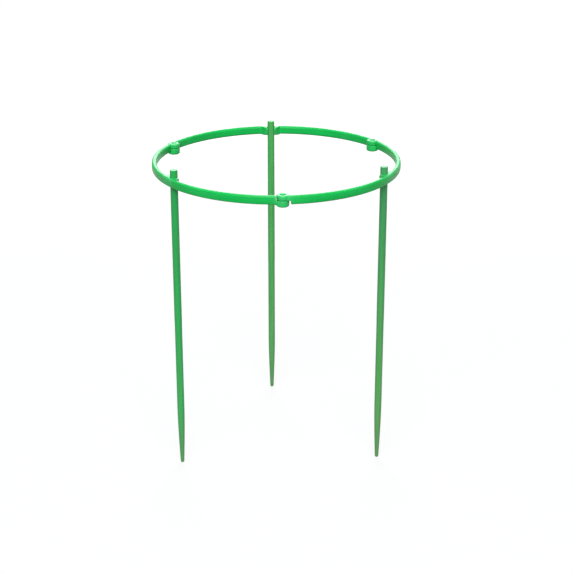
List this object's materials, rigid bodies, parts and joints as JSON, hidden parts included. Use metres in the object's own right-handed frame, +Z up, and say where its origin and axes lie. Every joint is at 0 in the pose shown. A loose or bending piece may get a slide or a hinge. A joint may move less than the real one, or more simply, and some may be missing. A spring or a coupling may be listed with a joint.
{
  "type": "plant support ring stake",
  "caption": "Plant support: a ring of snap-jointed arcs on upright pointed stakes that slide in C-clips; the ring opens around a stem and the stakes push into soil.",
  "frame": {"origin": "on the ring's axis, level with the points of the stakes", "axes": "+Z up along the ring's axis, +Y towards the rear stake, with the front snap joint at -Y and +X to the right"},
  "size_m": [0.2, 0.2009, 0.254],
  "materials": {
    "arc_plastic": "bright green moulded polypropylene, semi-gloss",
    "stake_plastic": "duller green moulded polypropylene, satin"
  },
  "bodies": {
    "right_arc": {"right_arc": "arc_plastic"},
    "rear_arc": {"rear_arc": "arc_plastic"},
    "left_arc": {"left_arc": "arc_plastic"},
    "right_stake": {"right_stake": "stake_plastic"},
    "rear_stake": {"rear_stake": "stake_plastic"},
    "left_stake": {"left_stake": "stake_plastic"}
  },
  "joints": [
    {"name": "front_hinge", "type": "hinge", "parent": "right_arc", "child": "left_arc", "pos_m": [0, -0.096, 0.2415], "axis": [0, 0, 1], "range_deg": [0, 80]},
    {"name": "rear_right_hinge", "type": "hinge", "parent": "right_arc", "child": "rear_arc", "pos_m": [0.08314, 0.048, 0.2415], "axis": [0, 0, -1], "range_deg": [0, 80]},
    {"name": "right_stake_slide", "type": "slide", "parent": "right_arc", "child": "right_stake", "axis": [0, 0, 1], "range_m": [-0.005, 0.11]},
    {"name": "rear_stake_slide", "type": "slide", "parent": "rear_arc", "child": "rear_stake", "axis": [0, 0, 1], "range_m": [-0.005, 0.11]},
    {"name": "left_stake_slide", "type": "slide", "parent": "left_arc", "child": "left_stake", "axis": [0, 0, 1], "range_m": [-0.005, 0.11]}
  ],
  "couplings": [
    {"joint": "rear_right_hinge", "follows": "front_hinge", "ratio": 1}
  ]
}
